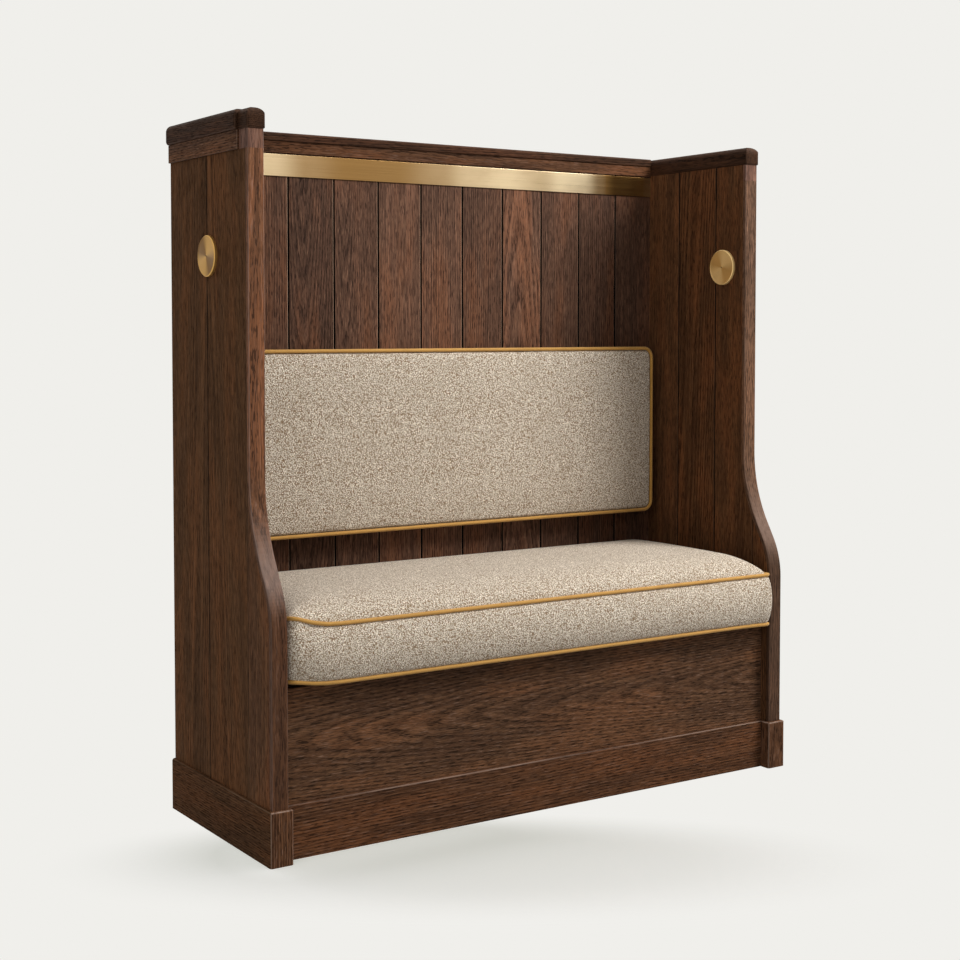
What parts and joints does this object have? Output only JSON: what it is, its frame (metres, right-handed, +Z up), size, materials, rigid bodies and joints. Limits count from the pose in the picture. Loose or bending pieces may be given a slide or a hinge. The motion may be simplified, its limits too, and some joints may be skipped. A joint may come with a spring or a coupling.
{
  "type": "high-back settle",
  "caption": "High-back wooden settle with curved boarded wings, a tall boarded back, brass discs and rail, a loose piped seat cushion and a fixed piped back pad.",
  "frame": {"origin": "on the floor, in the middle of the settle's footprint", "axes": "+X across the seat to the sitter's left, +Y from the front to the back, +Z up"},
  "size_m": [1.289, 0.457, 1.4],
  "materials": {
    "oak_upright": "dark stained open-pored oak, satin, grain upright",
    "oak_level": "dark stained open-pored oak, satin, grain along the piece",
    "oak_cap": "dark stained oak, smooth, a little glossier",
    "pale_timber": "plain unfinished softwood and plywood, out of sight",
    "brass": "brushed, lacquered",
    "boucle": "beige looped wool fabric",
    "piping": "mustard yellow woven piping"
  },
  "bodies": {
    "settle": {"left_front_edge": "oak_upright", "left_stile": "oak_upright", "left_head_block": "oak_upright", "left_core_panel": "oak_upright", "left_frieze": "oak_level", "left_cap": "oak_cap", "left_plinth_board": "oak_level", "left_plinth_block": "oak_upright", "left_outer_disc": "brass", "left_inner_disc": "brass", "left_seat_cleat": "pale_timber", "left_outer_board_1": "oak_upright", "left_outer_board_2": "oak_upright", "left_inner_board_1": "oak_upright", "left_inner_board_2": "oak_upright", "left_inner_board_3": "oak_upright", "right_front_edge": "oak_upright", "right_stile": "oak_upright", "right_head_block": "oak_upright", "right_core_panel": "oak_upright", "right_frieze": "oak_level", "right_cap": "oak_cap", "right_plinth_board": "oak_level", "right_plinth_block": "oak_upright", "right_outer_disc": "brass", "right_inner_disc": "brass", "right_seat_cleat": "pale_timber", "right_outer_board_1": "oak_upright", "right_outer_board_2": "oak_upright", "right_inner_board_1": "oak_upright", "right_inner_board_2": "oak_upright", "right_inner_board_3": "oak_upright", "back_board_1": "oak_upright", "back_board_2": "oak_upright", "back_board_3": "oak_upright", "back_board_4": "oak_upright", "back_board_5": "oak_upright", "back_board_6": "oak_upright", "back_board_7": "oak_upright", "back_board_8": "oak_upright", "back_board_9": "oak_upright", "back_board_10": "oak_upright", "back_board_11": "oak_upright", "top_rail": "oak_level", "bottom_rail": "oak_level", "front_panel": "oak_level", "front_skirting": "oak_level", "back_cap": "oak_cap", "brass_strip": "brass", "seat_board": "pale_timber", "front_cleat": "pale_timber", "rear_cleat": "pale_timber", "centre_bearer": "pale_timber", "back_pad_board": "pale_timber", "back_pad": "boucle", "back_pad_piping": "piping"},
    "loose_seat_cushion": {"seat_cushion": "boucle", "seat_piping_top": "piping", "seat_piping_bottom": "piping"}
  },
  "joints": [
    {"name": "cushion_draw_out", "type": "slide", "parent": "settle", "child": "loose_seat_cushion", "axis": [0, -1, 0], "range_m": [0, 0.45]}
  ]
}
